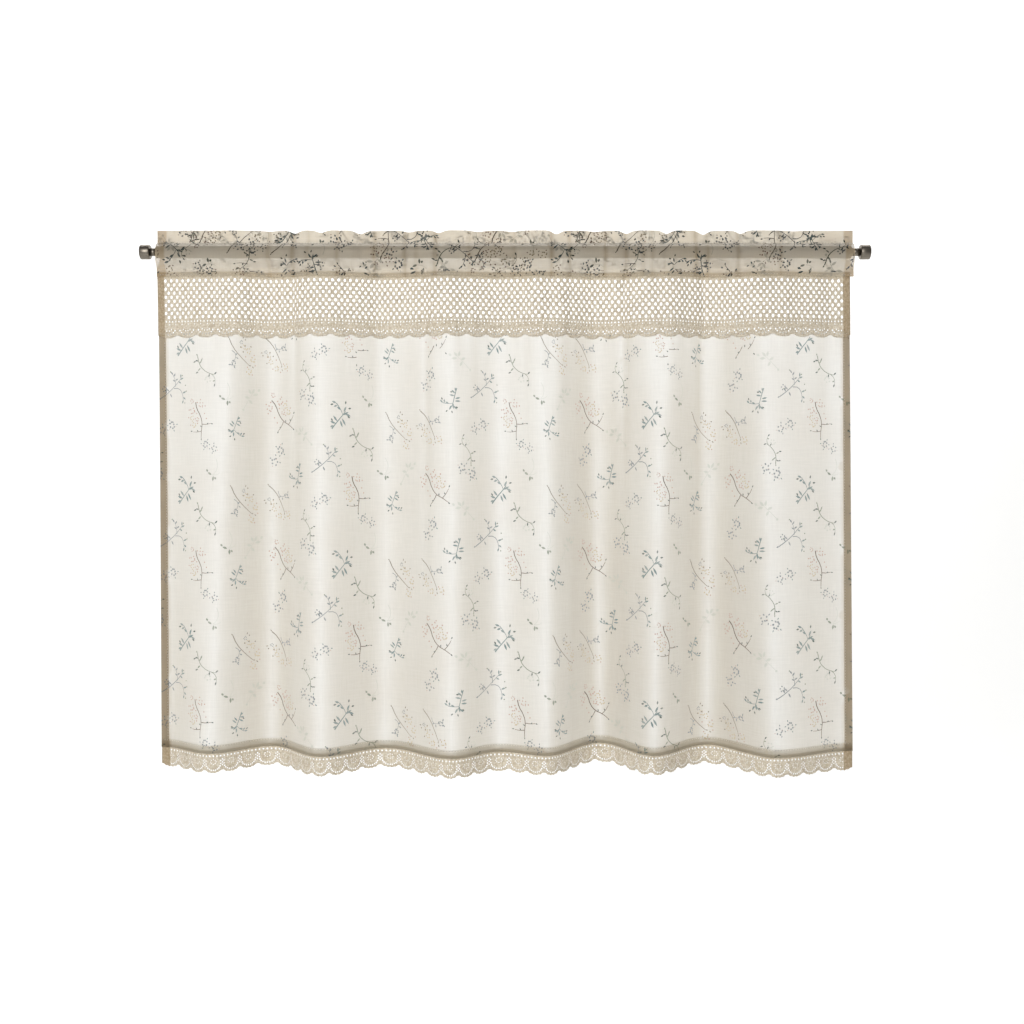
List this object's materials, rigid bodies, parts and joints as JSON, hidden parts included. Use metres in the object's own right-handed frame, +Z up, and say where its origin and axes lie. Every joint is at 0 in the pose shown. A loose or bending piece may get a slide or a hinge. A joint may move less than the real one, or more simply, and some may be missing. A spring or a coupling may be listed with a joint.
{
  "type": "cafe curtain panel on tension rod",
  "caption": "Short gathered curtain panel of printed semi-sheer cotton with a net lace band and scalloped lace hem, hung by its rod pocket on a slim tension rod.",
  "frame": {"origin": "on the rod's axis, halfway along the rod", "axes": "+X along the rod to the viewer's right, +Y back towards the window, +Z up"},
  "size_m": [0.8164, 0.0745, 0.6072],
  "materials": {
    "printed_cotton": "semi-sheer printed cotton voile",
    "heading_cotton": "doubled printed cotton voile",
    "cotton_lace": "unbleached cotton lace",
    "rod_metal": "dark brushed nickel plating"
  },
  "bodies": {
    "root": {"heading": "heading_cotton", "lace_band": "cotton_lace", "panel": "printed_cotton", "lace_edging": "cotton_lace", "rod_tube": "rod_metal", "rod_neck_left": "rod_metal", "rod_neck_right": "rod_metal", "rod_cap_left": "rod_metal", "rod_cap_right": "rod_metal"}
  },
  "joints": []
}
